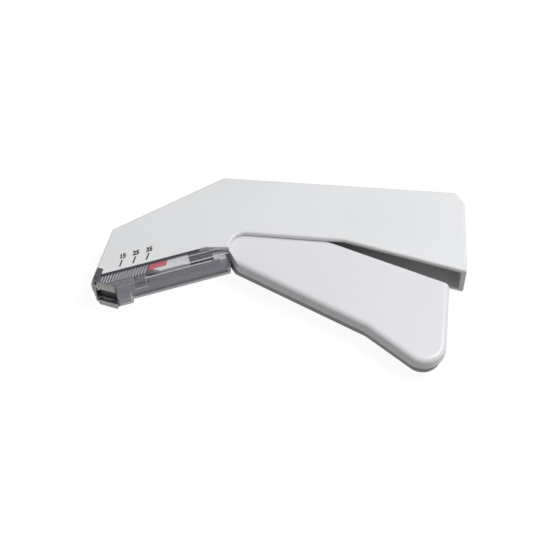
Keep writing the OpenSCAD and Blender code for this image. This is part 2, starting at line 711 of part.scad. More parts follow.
module trigger_half() {
  difference() {
    slab(0, trig_half) polygon(trig_outline);
    slab(-over, trig_half - trig_wall) polygon(shrink(trig_outline, trig_wall));
    round_edge(tail, tip_arc[tip_n], trig_half, trig_r, 0, trig_r);
    for (i = [tip_n : -1 : 1])
      round_edge(tip_arc[i], tip_arc[i - 1], trig_half, trig_r, trig_r / 2, trig_r / 2);
    round_edge(tip_arc[0], bend, trig_half, trig_r, trig_r, mitre);
    round_edge(bend, lip, trig_half, trig_r, mitre, trig_r);
    slab(-over, arm_t / 2 + seat) circle(hub_r + 4 * over);
    slab(arm_t / 2 - over, trig_half + over) circle(pivot_boss_r + 2 * seat);
  }
}
module trigger_ear(z0, z1) {
  slab(z0, z1) difference() {
    union() {
      circle(hub_r);
      polygon([hub_r * ray(80), hub_r * ray(-80), [hub_r + ear_len, -hub_r], [hub_r + ear_len, hub_r]]);
    }
    circle(pivot_r + run_gap);
  }
}
module trigger_shell_upper() {
  color("white") translate([0, 0, half_w]) {
    trigger_half();
    trigger_ear(hub_z[1] - ear_t, hub_z[1]);
  }
}
module trigger_shell_lower() {
  color("white") translate([0, 0, half_w]) mirror([0, 0, 1]) {
    trigger_half();
    trigger_ear(hub_z[0], hub_z[1]);
  }
}

body_shell_upper();
body_shell_lower();
trigger_pivot_pin();
magazine_cover();
staple_rail();
anvil_plate();
nose_plate();
magazine_plug();
feed_spring();
staple_stack();
ready_staple();
ejector_spring();
trigger_spring();
staple_pusher();
pusher_indicator();
driver_blade();
driver_carriage();
driver_rivets();
trigger_shell_upper();
trigger_shell_lower();
trigger_arm();
drive_pin();
pivot_bush();
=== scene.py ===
"""Skin stapler lying on its side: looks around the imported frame."""
import json
import math

import bmesh
import bpy
from mathutils import Matrix, Vector


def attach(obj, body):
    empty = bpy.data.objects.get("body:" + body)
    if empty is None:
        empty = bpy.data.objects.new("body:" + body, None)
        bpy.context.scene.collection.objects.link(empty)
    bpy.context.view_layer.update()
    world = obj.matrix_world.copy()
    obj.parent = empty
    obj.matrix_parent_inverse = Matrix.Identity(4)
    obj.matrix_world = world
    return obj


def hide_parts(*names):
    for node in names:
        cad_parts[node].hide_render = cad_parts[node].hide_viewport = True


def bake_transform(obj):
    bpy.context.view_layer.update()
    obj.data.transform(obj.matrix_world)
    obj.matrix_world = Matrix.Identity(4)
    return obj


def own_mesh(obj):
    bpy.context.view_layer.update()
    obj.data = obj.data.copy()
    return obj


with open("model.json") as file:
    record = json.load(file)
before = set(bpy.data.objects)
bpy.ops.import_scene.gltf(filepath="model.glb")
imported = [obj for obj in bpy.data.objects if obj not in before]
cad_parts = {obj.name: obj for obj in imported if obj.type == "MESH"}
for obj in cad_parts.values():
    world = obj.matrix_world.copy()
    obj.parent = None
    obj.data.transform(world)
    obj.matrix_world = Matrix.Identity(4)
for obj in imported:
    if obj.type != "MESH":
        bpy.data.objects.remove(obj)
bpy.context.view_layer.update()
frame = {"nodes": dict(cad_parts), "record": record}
MM = 0.001
ROW_ANGLE = math.radians(17)


# Camera and key light
PHOTO_PX = 550
FOCAL_PX = 1600
SENSOR_MM = 36
LOOK_AT = Vector((25.5, -15.0, 9.0))
LOOK_DOWN = math.radians(60)
DISTANCE_MM = 682
KEY_PLACE = (0.43, 0.06, 0.75)
KEY_AIM = (0.03, -0.01, 0)
KEY_SIDE = 0.45
KEY_WATTS = 5.8

camera_data = bpy.data.cameras.new("camera")
camera_data.sensor_width = SENSOR_MM
camera_data.lens = SENSOR_MM * FOCAL_PX / PHOTO_PX
camera = bpy.data.objects.new("camera", camera_data)
looking = Vector((0, math.cos(LOOK_DOWN), -math.sin(LOOK_DOWN)))
camera.location = (LOOK_AT - looking * DISTANCE_MM) * MM
camera.rotation_euler = (math.pi / 2 - LOOK_DOWN, 0, 0)
bpy.context.scene.collection.objects.link(camera)
bpy.context.scene.camera = camera


def softbox(name, place, aim, side, watts):
    """A square area lamp at a place in metres, turned to what it lights."""
    data = bpy.data.lights.new(name, "AREA")
    data.shape = "SQUARE"
    data.size = side
    data.energy = watts
    lamp = bpy.data.objects.new(name, data)
    lamp.location = place
    lamp.rotation_euler = (Vector(aim) - Vector(place)).to_track_quat("-Z", "Y").to_euler()
    bpy.context.scene.collection.objects.link(lamp)


softbox("softbox_key", KEY_PLACE, KEY_AIM, KEY_SIDE, KEY_WATTS)


# Shader maths
class Wire:
    """A shader socket that can be used in a sum."""

    def __init__(self, finish, socket):
        self.finish, self.socket = finish, socket

    def math(self, operation, *values):
        return self.finish.node("Math", {"operation": operation}, dict(enumerate(values)))

    def __add__(self, other):
        return self.math("ADD", self, other)

    def __sub__(self, other):
        return self.math("SUBTRACT", self, other)

    def __rsub__(self, other):
        return self.math("SUBTRACT", other, self)

    def __mul__(self, other):
        return self.math("MULTIPLY", self, other)

    __radd__, __rmul__ = __add__, __mul__

    def clamped(self, low, high):
        """The value taken from low..high to 0..1 and held there."""
        stops = {0: self, 1: low, 2: high, 3: 0.0, 4: 1.0}
        return self.finish.node("MapRange", {"clamp": True}, stops)


class Finish:
    """A material in the making, with a Principled shader to fill in."""

    def __init__(self, name, **constants):
        self.material = bpy.data.materials.new(name)
        self.material.use_nodes = True
        self.tree = self.material.node_tree
        self.shader = self.tree.nodes["Principled BSDF"]
        for key, value in constants.items():
            self.shader.inputs[key.replace("_", " ")].default_value = value
        self.place = self.node("TexCoord", out="Object")

    def node(self, kind, settings=None, values=None, out=0):
        made = self.tree.nodes.new("ShaderNode" + kind)
        for key, value in (settings or {}).items():
            setattr(made, key, value)
        for key, value in (values or {}).items():
            if isinstance(value, Wire):
                self.tree.links.new(value.socket, made.inputs[key])
            else:
                made.inputs[key].default_value = value
        return Wire(self, made.outputs[out])

    def feed(self, name, wire):
        self.tree.links.new(wire.socket, self.shader.inputs[name])

    def stretched(self, scale, turn):
        """The object's coordinates scaled along each way and turned about z."""
        return self.node("Mapping", {"vector_type": "POINT"}, {0: self.place, 2: (0, 0, turn), 3: scale})

    def noise(self, per_metre, detail, place=None):
        place = place or self.place
        return self.node("TexNoise", None, {"Vector": place, "Scale": per_metre, "Detail": detail})

    def mix(self, factor, first, second):
        return self.node("MixRGB", None, {0: factor, 1: first, 2: second})

    def bump(self, height, depth):
        """Relief of a depth in metres."""
        relief = {"Strength": 1.0, "Distance": depth, "Height": height}
        self.feed("Normal", self.node("Bump", None, relief))


# Finishes
MOULD_GRAIN = 0.00002
ROLLED_GRAIN = 0.00001
SMOKE_GRAIN = 0.00006
ROLLED_LINES_PER_M = (160, 5200, 5200)
SMOKE_FLOW_PER_M = (60, 320, 320)
# Painted shade on the smoke plastics: the opacity rises from the near height to the far one, and below the
# band heights the colour turns to a dark painted band
SMOKE_FAR, SMOKE_NEAR = 0.004, 0.0155
SHADE_BAND_LOW, SHADE_BAND_HIGH = 0.0056, 0.0066
SHADE_BAND_SMOKE = (0.2, 0.19, 0.24, 1)
COOL_WHITE = (0.99, 1, 1.015)
TRIGGER_COOL = (0.985, 0.99, 1.02)
NOSE_WARM = (1, 0.99, 0.93)
ANVIL_WARM = (1, 0.96, 0.92)


def grey(level, tint=(1, 1, 1)):
    return (level * tint[0], level * tint[1], level * tint[2], 1)


def moulded(name, colour, darker, roughness):
    """Moulded plastic: a fine spark-eroded grain, faint flow clouds and slightly uneven gloss."""
    finish = Finish(name, Specular_IOR_Level=0.5)
    clouds = finish.noise(per_metre=28, detail=3.0)
    gloss = finish.noise(per_metre=110, detail=3.0)
    grain = finish.noise(per_metre=2600, detail=2.0)
    waves = finish.noise(per_metre=160, detail=1.0)
    finish.feed("Base Color", finish.mix(clouds.clamped(0.35, 0.7), colour, darker))
    finish.feed("Roughness", roughness - 0.04 + gloss * 0.08)
    finish.bump(grain + waves * 0.8, MOULD_GRAIN)
    return finish.material


def rolled(name, colour, darker, roughness, turn=0.0):
    """Rolled steel strip: fine lines along the rolling direction and faint stains."""
    finish = Finish(name, Metallic=1.0)
    lines = finish.noise(per_metre=1.0, detail=4.0, place=finish.stretched(ROLLED_LINES_PER_M, turn))
    stains = finish.noise(per_metre=240, detail=3.0)
    finish.feed("Base Color", finish.mix((lines * 0.5 + stains * 0.5).clamped(0.3, 0.7), colour, darker))
    finish.feed("Roughness", roughness + (lines - 0.5) * 0.16)
    finish.bump(lines, ROLLED_GRAIN)
    return finish.material


def smoke(name, clear, dense, light, dark, shine):
    """Smoke-tinted clear plastic: polished, a little flow in it, and denser and darker on its far side, which
    is painted shade.

    The tint is made by opacity, clear at the near side and dense at the far one, with a dark painted band low
    on the far side: both stand in for the shade that the far side lies in, facing the floor."""
    finish = Finish(name, IOR=1.49, Specular_IOR_Level=shine)
    flow = finish.noise(per_metre=1.0, detail=2.0, place=finish.stretched(SMOKE_FLOW_PER_M, -ROW_ANGLE))
    height = finish.node("SeparateXYZ", None, {0: finish.place}, out="Z")
    tint = finish.mix(flow.clamped(0.3, 0.75), (*light, 1), (*dark, 1))
    # Painted shade: the colour turns dark low on the far side, and the opacity rises towards it
    near = height.clamped(SMOKE_FAR, SMOKE_NEAR)
    finish.feed("Base Color", finish.mix(height.clamped(SHADE_BAND_LOW, SHADE_BAND_HIGH), SHADE_BAND_SMOKE, tint))
    finish.feed("Alpha", dense + near * (clear - dense) + (flow - 0.5) * 0.12)
    finish.feed("Roughness", 0.08 + finish.noise(per_metre=420, detail=2.0) * 0.1)
    finish.bump(flow, SMOKE_GRAIN)
    return finish.material


# Each plastic with its colour, its darker clouds and its roughness
PLASTICS = {
    "housing_white": (grey(0.76, COOL_WHITE), grey(0.735, COOL_WHITE), 0.36),
    "trigger_white": (grey(0.75, TRIGGER_COOL), grey(0.725, TRIGGER_COOL), 0.34),
    # Painted shade: a dark grey that stands in for the shade on the trigger's lower sides under the parting
    # line
    "trigger_shade": (grey(0.17), grey(0.155), 0.5),
    "red_plastic": ((0.58, 0.012, 0.02, 1), (0.5, 0.01, 0.016, 1), 0.3),
    "pale_plastic": (grey(0.74), grey(0.68), 0.4),
    "carriage_plastic": (grey(0.55), grey(0.5), 0.4),
    "rib_grey": (grey(0.82), grey(0.7), 0.25),
    "print_ink": (grey(0.012), grey(0.018), 0.5),
}
# Each smoke with its opacity near and far, its light and dark tint and its shine; the far opacity is painted
# shade
SMOKES = {
    "clear_smoke": (0.1, 0.7, (0.72, 0.7, 0.82), (0.56, 0.54, 0.65), 0.5),
    "thick_smoke": (0.62, 0.85, (0.4, 0.39, 0.47), (0.3, 0.29, 0.35), 0.9),
    # Painted highlight: a near-white, nearly opaque smoke for the lines that stand in for the glints along
    # the cover's edges
    "edge_smoke": (0.8, 0.85, (0.85, 0.85, 0.9), (0.75, 0.75, 0.8), 0.3),
    "ear_smoke": (0.95, 0.95, (0.09, 0.088, 0.1), (0.06, 0.058, 0.068), 0.5),
    # Painted shadow: a near-black for the seat ledges, standing in for the shadow in the gap between the
    # cover and the housing
    "seat_smoke": (0.97, 0.97, (0.012, 0.012, 0.014), (0.008, 0.008, 0.01), 0.1),
}
# Each metal with its colour, its stains, its roughness and the way it was rolled
METALS = {
    "nose_steel": (grey(0.27, NOSE_WARM), grey(0.19, NOSE_WARM), 0.34, ROW_ANGLE),
    "rail_steel": (grey(0.2), grey(0.14), 0.3, ROW_ANGLE),
    "anvil_steel": (grey(0.26, ANVIL_WARM), grey(0.18, ANVIL_WARM), 0.36, ROW_ANGLE),
    "arm_steel": (grey(0.4), grey(0.32), 0.35),
    "pin_steel": (grey(0.55), grey(0.48), 0.22),
    "staple_wire": (grey(0.4), grey(0.3), 0.18),
    "spring_steel": (grey(0.5), grey(0.42), 0.25),
    # Painted shade: a near-black steel for the bed deep in the staple mouth, standing in for the shade there
    "throat_steel": (grey(0.05), grey(0.03), 0.5, ROW_ANGLE),
    "bush_brass": ((0.7, 0.52, 0.24, 1), (0.58, 0.42, 0.18, 1), 0.3),
}
finishes = {}
for make, recipes in ((moulded, PLASTICS), (smoke, SMOKES), (rolled, METALS)):
    for name, recipe in recipes.items():
        finishes[name] = make(name, *recipe)
slots = {part["node"]: part["material_slot"] for part in frame["record"]["subparts"]}
for name, obj in frame["nodes"].items():
    obj.data.materials.clear()
    obj.data.materials.append(finishes[slots[name]])


# Places on the stapler, in millimetres
WIDTH = 18.0
HALF_W = WIDTH / 2
WALL = 2.2
SEAT = 0.15
# How far a cutting tool reaches past what it cuts, where some take several of it
OVER = 1.0
PARALLEL = 1e-4


def ray(angle):
    return Vector((math.cos(angle), math.sin(angle)))


def right_of(way):
    return Vector((way.y, -way.x))


def cross2(a, b):
    return a.x * b.y - a.y * b.x


def meet(p, u, q, v):
    """Where the line from p along u meets the line from q along v."""
    return p + u * (cross2(q - p, v) / cross2(u, v))


def in_space(point, z):
    return Vector((point.x * MM, point.y * MM, z * MM))


ROW_DIR = ray(ROW_ANGLE)
ROW_DOWN = right_of(ROW_DIR)
NOSE_DOWN = Vector((-math.sin(ROW_ANGLE), -math.cos(ROW_ANGLE)))
NOSE_IN = Vector((math.cos(ROW_ANGLE), -math.sin(ROW_ANGLE)))
NOSE_TOP = Vector((-45.6, 1.7))
CHIN_FRONT = Vector((-4.2, -6.5))
CHIN_REAR = Vector((6.1, -6.5))
ROW_FRONT = meet(NOSE_TOP, NOSE_DOWN, CHIN_FRONT, ROW_DIR)
ROW_FRONT_S = (ROW_FRONT - NOSE_TOP).dot(NOSE_DOWN)


def nose_at(w, s):
    """The place w in from the front of the nose and s down it."""
    return NOSE_TOP + NOSE_IN * w + NOSE_DOWN * s


def row_at(a, d):
    """The place a back along the row of staples and d down from it."""
    return ROW_FRONT + ROW_DIR * a + ROW_DOWN * d


# Mesh making
SHARP, WIRE_SHARP = 32.0, 50.0
SOFTEN_DEGREES = 35
LEAST_R = 0.05


def ring(corners, insets, radii, steps):
    """The outline with each edge moved inward by its own inset and each corner rounded.

    Edge i runs from corner i to corner i + 1, with the inside on its right."""
    n = len(corners)
    ways = [(corners[(i + 1) % n] - corners[i]).normalized() for i in range(n)]
    points = []
    for i in range(n):
        into, out = ways[i - 1], ways[i]
        p = corners[i] + right_of(into) * insets[i - 1]
        q = corners[i] + right_of(out) * insets[i]
        corner = q if abs(cross2(into, out)) < PARALLEL else meet(p, into, q, out)
        if steps[i] < 1:
            points.append(corner)
            continue
        turn = math.atan2(cross2(into, out), into.dot(out))
        convex = turn < 0
        inset = (insets[i - 1] + insets[i]) / 2
        radius = max(radii[i] - inset, LEAST_R) if convex else radii[i] + inset
        reach = radius * math.tan(abs(turn) / 2)
        start = corner - into * reach
        centre = start + right_of(into) * (radius if convex else -radius)
        spoke = start - centre
        for k in range(steps[i] + 1):
            cos, sin = math.cos(turn * k / steps[i]), math.sin(turn * k / steps[i])
            points.append(centre + Vector((spoke.x * cos - spoke.y * sin, spoke.x * sin + spoke.y * cos)))
    return points


def skin(bm, rows, closed=(True, True)):
    """Faces between rows of vertices of equal count, with flat ends."""
    for low, high in zip(rows, rows[1:]):
        n = len(low)
        for i in range(n):
            bm.faces.new((low[i], low[(i + 1) % n], high[(i + 1) % n], high[i]))
    if closed[0]:
        bm.faces.new(rows[0][::-1])
    if closed[1]:
        bm.faces.new(rows[-1])


def loft(bm, rings, closed=(True, True)):
    """Skins a stack of (points, height) rings of equal count."""
    skin(bm, [[bm.verts.new(in_space(point, z)) for point in points] for points, z in rings], closed)


def prism(bm, points, z0, z1):
    loft(bm, [(points, z0), (points, z1)])


def disc(centre, radius, count=32):
    return [centre + ray(-2 * math.pi * k / count) * radius for k in range(count)]


def block(low, high):
    """The four corners of a rectangle, for a section."""
    return [(low[0], low[1]), (high[0], low[1]), (high[0], high[1]), (low[0], high[1])]


def beam(bm, section, at, start, end):
    """A prism of a section in (second way, z), carried along the first way of row_at or the like."""
    skin(bm, [[bm.verts.new((*(at(way, second) * MM), z * MM)) for second, z in section]
              for way in (start, end)])


def down_nose(s, w):
    """The same place as nose_at, for a beam that runs down the nose."""
    return nose_at(w, s)


def mesh_piece(name, bm, finish, sharp=SHARP):
    """Closes a bmesh into a named object, its faces turned outwards."""
    bmesh.ops.recalc_face_normals(bm, faces=bm.faces)
    mesh = bpy.data.meshes.new(name)
    bm.to_mesh(mesh)
    bm.free()
    for face in mesh.polygons:
        face.use_smooth = True
    mesh.set_sharp_from_angle(angle=math.radians(sharp))
    mesh.materials.append(finishes[finish])
    obj = bpy.data.objects.new(name, mesh)
    bpy.context.scene.collection.objects.link(obj)
    return obj


def prism_tool(points, z0, z1):
    bm = bmesh.new()
    prism(bm, points, z0, z1)
    return mesh_piece("tool", bm, "housing_white")


def beam_tool(section, at, start, end):
    bm = bmesh.new()
    beam(bm, section, at, start, end)
    return mesh_piece("tool", bm, "housing_white")


def finished(obj):
    """The object with its modifiers applied, as a plain mesh in its first finish."""
    name, material = obj.name, obj.data.materials[0]
    graph = bpy.context.evaluated_depsgraph_get()
    graph.update()
    mesh = bpy.data.meshes.new_from_object(obj.evaluated_get(graph))
    bpy.data.objects.remove(obj)
    mesh.materials.clear()
    mesh.materials.append(material)
    made = bpy.data.objects.new(name, mesh)
    bpy.context.scene.collection.objects.link(made)
    return made


def cut_away(obj, *tools):
    """Takes each tool's shape off the object and drops the tools."""
    for tool in tools:
        step = obj.modifiers.new("cut", "BOOLEAN")
        step.operation, step.solver, step.object = "DIFFERENCE", "EXACT", tool
    obj = finished(obj)
    for tool in tools:
        bpy.data.objects.remove(tool)
    return obj


def soften(obj, width, segments=2):
    """A small rounding on the edges that are still sharp."""
    step = obj.modifiers.new("soften", "BEVEL")
    step.width = width * MM
    step.segments = segments
    step.limit_method = "ANGLE"
    step.angle_limit = math.radians(SOFTEN_DEGREES)
    step.harden_normals = True
    step.miter_outer = "MITER_ARC"
    step.use_clamp_overlap = True
    return finished(obj)


def turn_over(obj):
    """Mirrors a half about its parting line."""
    obj.data.transform(Matrix.Scale(-1, 4, (0, 0, 1)))
    obj.data.flip_normals()


def lift(obj, z):
    obj.data.transform(Matrix.Translation((0, 0, z * MM)))
    return obj


# Housing shells
SPINE_R = 1.2
SPINE_DEGREES = (18, 34, 48, 60, 70, 79)
PRINT_T = 0.02
RIM_R, LIP_R = 0.35, 1.0
PROW_R, PROW_FLAT, PROW_SET = 0.5, 2.2, 1.7
SEAM = 0.12
FACE_EDGE = 0.25
ELBOW = Vector((3.3, 29))
BACK = Vector((103.8, 21.3))
HEEL_TOP = Vector((107.4, 16.1))
HEEL_LOW = Vector((106.4, -18.6))
BAY_CREST = Vector((54.8, -2.9))
BELOW_BAY = Vector((53.2, -37.2))
NOTCH = Vector((13.1, -6.2))
NOTCH_R = 7.0
NOTCH_STEPS = 20
EAR_W0, EAR_W1, EAR_S = 1.9, 4.6, 5.6
notch = [NOTCH + ray(math.pi / 2 * (1 + k / NOTCH_STEPS)) * NOTCH_R for k in range(NOTCH_STEPS + 1)]
# Each corner of the side view with its radius and the steps of its arc
outline = [(ROW_FRONT, 0.5, 3), (NOSE_TOP, 1.5, 5), (ELBOW, 4.0, 8), (BACK, 1.6, 5), (HEEL_TOP, 1.6, 5),
           (HEEL_LOW, 0.6, 3), (BAY_CREST, 6.0, 6)]
outline += [(point, 0, 0) for point in notch]
outline += [(CHIN_REAR, 0.5, 3), (CHIN_FRONT, 2.0, 4)]
corners, corner_radii, corner_steps = zip(*outline)


def rounding(radius, height):
    """How far a rounded edge has drawn in at a height below its top face."""
    above = height - (HALF_W - radius)
    return 0.0 if above <= 0 else radius - math.sqrt(max(radius ** 2 - above ** 2, 0))


def round_heights(top, radius, degrees):
    """The heights of the rings round an edge below its top face."""
    return [top - radius + radius * math.sin(math.radians(angle)) for angle in degrees]


def housing_insets(height, extra=0.0):
    """The inset of each edge at a height: a leaning prow, a round spine and a rim round the bay."""
    prow = PROW_SET * max(0.0, height - PROW_FLAT) / (HALF_W - PROW_FLAT)
    seam = SEAM * max(0.0, 1 - height / SEAM)
    insets = [prow + rounding(PROW_R, height) + seam]
    insets += [rounding(SPINE_R, height) + seam] * 4
    insets += [rounding(LIP_R, height)] * (len(corners) - 7)
    insets += [rounding(RIM_R, height)] * 2
    return [inset + extra for inset in insets]


def housing_ring(height, extra=0.0):
    return ring(corners, housing_insets(height, extra), corner_radii, corner_steps)


PEG_R, PEG_TIP_R, PEG_FIT = 1.2, 0.9, 0.05
PEG_LEN, PEG_END = 1.4, 1.8
BOSS_R, PEG_INSET = 2.4, 4.0
PROW_PEG_SHARE = 0.62
SPINE_PEG_SHARES = (0.22, 0.56, 0.92)
RIB_SHARES = (0.1, 0.33, 0.45, 0.67, 0.8)
RIB_T, RIB_LEN = 1.2, 6.6
PIVOT = Vector((0, 0))
PIVOT_BOSS_R, PIVOT_BOSS_H = 3.25, 1.0
ROOT = 0.3


def under(p, q, share, depth):
    """The place a share of the way from p to q and a depth inward."""
    return p + (q - p) * share + right_of((q - p).normalized()) * depth


def add_inside(shell, pegged):
    """Bosses with their pegs or sockets, ribs and the pivot's boss, moulded to the inner face."""
    bm = bmesh.new()
    root = HALF_W - WALL + ROOT
    pegs = [under(NOSE_TOP, ELBOW, PROW_PEG_SHARE, PEG_INSET)]
    pegs += [under(ELBOW, BACK, share, PEG_INSET) for share in SPINE_PEG_SHARES]
    for peg in pegs:
        boss = disc(peg, BOSS_R)
        if pegged:
            shank = disc(peg, PEG_R)
            prism(bm, boss, 0, root)
            loft(bm, [(shank, root), (shank, -PEG_LEN), (disc(peg, PEG_TIP_R), -PEG_END)])
        else:
            bore = disc(peg, PEG_R + PEG_FIT)
            loft(bm, [(boss, root), (boss, 0), (bore, 0), (bore, 2 * PEG_R)], (False, True))
    along = (BACK - ELBOW).normalized()
    for share in RIB_SHARES:
        foot = under(ELBOW, BACK, share, WALL / 2) - along * RIB_T / 2
        end = foot + right_of(along) * RIB_LEN
        prism(bm, [foot, foot + along * RIB_T, end + along * RIB_T, end], SEAT, root)
    prism(bm, disc(PIVOT, PIVOT_BOSS_R, 40), HALF_W - WALL - PIVOT_BOSS_H, root)
    bmesh.ops.recalc_face_normals(bm, faces=bm.faces)
    for face in bm.faces:
        face.smooth = True
    bm.from_mesh(shell.data)
    bm.to_mesh(shell.data)
    bm.free()
    shell.data.set_sharp_from_angle(angle=math.radians(SHARP))


def housing_hollow():
    """The space inside one shell, open towards the magazine and the trigger's bay."""
    spine = ring(corners[:6], [WALL] * 6, [0] * 6, [0] * 6)
    front = ROW_FRONT + NOSE_IN * WALL + NOSE_DOWN * 4 * WALL
    heel_way = (HEEL_LOW - HEEL_TOP).normalized()
    heel = HEEL_LOW + right_of(heel_way) * WALL + heel_way * 4 * WALL
    return prism_tool([front] + spine[1:5] + [heel, BELOW_BAY], -OVER, HALF_W - WALL)


def ear_window():
    """The window in the shell's side for the cover's hooked ear."""
    low, high = ROW_FRONT_S + OVER, ROW_FRONT_S - EAR_S
    sides = [nose_at(EAR_W0, low), nose_at(EAR_W0, high), nose_at(EAR_W1, high), nose_at(EAR_W1, low)]
    return prism_tool(sides, HALF_W - WALL - OVER, HALF_W + OVER)


def housing_shell(name, lower):
    """One shell of the housing: the lower one is mirrored and carries the pegs."""
    heights = [0, SEAM, PROW_FLAT, HALF_W - WALL, HALF_W - SPINE_R]
    heights += round_heights(HALF_W, SPINE_R, SPINE_DEGREES)
    heights.append(HALF_W - PRINT_T)
    rings = [(housing_ring(height), height) for height in heights]
    bm = bmesh.new()
    loft(bm, rings + [(housing_ring(HALF_W, FACE_EDGE), HALF_W - PRINT_T)])
    shell = cut_away(mesh_piece(name, bm, "housing_white"), housing_hollow(), ear_window())
    add_inside(shell, lower)
    if lower:
        turn_over(shell)
    return lift(shell, HALF_W)


for side, lower in (("upper", False), ("lower", True)):
    shell = housing_shell("housing_" + side, lower)
    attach(shell, "housing")
    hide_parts("body_shell_" + side)


# Trigger halves
TRIGGER_HALF = 6.3
TRIGGER_WALL = 1.8
TRIGGER_R = 2.4
TRIGGER_DEGREES = range(10, 90, 8)
TRIGGER_SEAM = 0.15
TRIGGER_FACE_EDGE = 0.3
HIDDEN_R = 0.15
UNDERCUT = 0.17
LOWER_STEP = 0.35
HUB_R = 4.2
ARM_SPACE = 1.65
BOSS_HOLE_R, BOSS_HOLE_Z = 3.55, 0.5
TIP_R = 9.4
BEND_R = 9.0
BEND_X = 62.9
TRIGGER_FRONT = Vector((5.6, -6.2))
LIP = Vector((10, -13.6))
TAIL = Vector((99, -23.2))
face_way, tip_way = ray(math.radians(-28.8)), ray(math.radians(-39.5))
top_way, rear_way = ray(math.radians(-22.3)), ray(math.radians(-95.4))
BEND = LIP + face_way * ((BEND_X - LIP.x) / face_way.x)
TIP = meet(BEND, tip_way, TAIL, rear_way)
TOP_FRONT = TAIL - top_way * ((TAIL.x - NOTCH.x - NOTCH_R) / top_way.x)
# Each corner of the trigger with its radius and the steps of its arc
trigger_outline = [(TRIGGER_FRONT, 0.5, 0), (Vector((TRIGGER_FRONT.x, HUB_R)), 0.5, 0),
                   (Vector((NOTCH.x, TOP_FRONT.y)), 0.5, 0), (TOP_FRONT, 0.5, 0), (TAIL, 1.0, 4),
                   (TIP, TIP_R, 16), (BEND, BEND_R, 8), (LIP, 1.2, 5)]
trigger_corners, trigger_radii, trigger_steps = zip(*trigger_outline)
# Which faces of the trigger's lower half take the painted shade: those facing sideways, below these places
SIDE_FACE = 0.6
SHADE_TOP_Y, SHADE_TOP_Z = -7.0, -0.2


def trigger_insets(height, lower, extra=0.0):
    """The inset of each edge at a height, with the edges that the housing hides left nearly square."""
    top = height + HALF_W - TRIGGER_HALF
    seam = TRIGGER_SEAM * max(0.0, 1 - height / TRIGGER_SEAM)
    hidden, crown = rounding(HIDDEN_R, top), rounding(TRIGGER_R, top)
    if lower:
        crown = max(crown, UNDERCUT * height)
    seen = crown + seam + (LOWER_STEP if lower else 0.0)
    return [inset + extra for inset in [hidden] * 4 + [seen] * 3 + [hidden]]


def trigger_ring(height, lower, extra=0.0):
    return ring(trigger_corners, trigger_insets(height, lower, extra), trigger_radii, trigger_steps)


def paint_shade_underside(half):
    """Paints shade on the faces under the parting line, which the light hardly reaches: a dark grey finish
    stands in for the shade there.
    """
    half.data.materials.append(finishes["trigger_shade"])
    for face in half.data.polygons:
        low = face.center.z < SHADE_TOP_Z * MM and face.center.y < SHADE_TOP_Y * MM
        if low and abs(face.normal.z) < SIDE_FACE:
            face.material_index = 1


def trigger_half(name, lower):
    """One moulded half, hollow and open at the parting line."""
    heights = [0, TRIGGER_SEAM, TRIGGER_HALF - TRIGGER_R]
    heights += round_heights(TRIGGER_HALF, TRIGGER_R, TRIGGER_DEGREES)
    heights.append(TRIGGER_HALF)
    rings = [(trigger_ring(height, lower), height) for height in heights]
    bm = bmesh.new()
    loft(bm, rings + [(trigger_ring(TRIGGER_HALF, lower, TRIGGER_FACE_EDGE), TRIGGER_HALF)])
    hollow = ring(trigger_corners, [TRIGGER_WALL] * 8, trigger_radii, trigger_steps)
    half = cut_away(
        mesh_piece(name, bm, "trigger_white"),
        prism_tool(hollow, -OVER, TRIGGER_HALF - TRIGGER_WALL),
        prism_tool(disc(PIVOT, HUB_R + 4 * OVER, 48), -OVER, ARM_SPACE),
        prism_tool(disc(PIVOT, BOSS_HOLE_R, 48), BOSS_HOLE_Z, TRIGGER_HALF + OVER))
    if lower:
        turn_over(half)
        paint_shade_underside(half)
    return lift(half, HALF_W)


for side, lower in (("upper", False), ("lower", True)):
    half = trigger_half("trigger_" + side, lower)
    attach(half, "trigger")
    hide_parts("trigger_shell_" + side)


# Clear magazine cover
COVER_D, HEAD_D, HEAD_LEN = 6.6, 8.4, 16.6
HEAD_STEP = 1.4
CHAM_D, CHAM_Z, CHAM_OVER = 1.1, 3.9, 0.28
COVER_T = 1.1
COVER_EDGE, LEDGE_EDGE = 0.3, 0.1
GROOVE = 0.5
REAR_GAP = 0.4
HOLLOW_A0 = 1.1
MOUTH_S, NOSE_T, CAP_W = 26.0, 1.0, 9.8
MOUTH_Z = 9.8
CAP_S0 = MOUTH_S - NOSE_T
CAP_W0 = WALL + SEAT
HEAD_W1 = CAP_W0 + CAP_W
THICK_D = 3.4
LEDGE_A0, LEDGE_A1 = 5.5, 48.0
# The two steps of a seat ledge, as sections in depth and width
LEDGES = (block((0.02, 0.3), (GROOVE + 0.2, 1.2)), block((-1.5, WALL + SEAT), (0.1, 3.15)))
level = Vector((1, 0))
row_end = meet(CHIN_REAR - Vector((0, GROOVE)), level, LIP, LIP - TRIGGER_FRONT)
ROW_LEN = (row_end - ROW_FRONT).dot(ROW_DIR) - REAR_GAP


def cover_side():
    """The side view of the cover, from the nose's foot round by its top edge."""
    foot = CAP_S0 - SEAT
    chin = CHIN_FRONT - Vector((0, GROOVE))
    top = meet(nose_at(CAP_W0, 0), NOSE_DOWN, row_at(0, GROOVE), ROW_DIR)
    return [nose_at(CAP_W0, foot), top, meet(row_at(0, GROOVE), ROW_DIR, chin, level),
            meet(chin, level, row_at(ROW_LEN, 0), ROW_DOWN), row_at(ROW_LEN, COVER_D),
            row_at(HEAD_LEN, COVER_D), row_at(HEAD_LEN - HEAD_STEP, HEAD_D),
            meet(nose_at(0, foot), NOSE_IN, row_at(0, HEAD_D), ROW_DIR)]


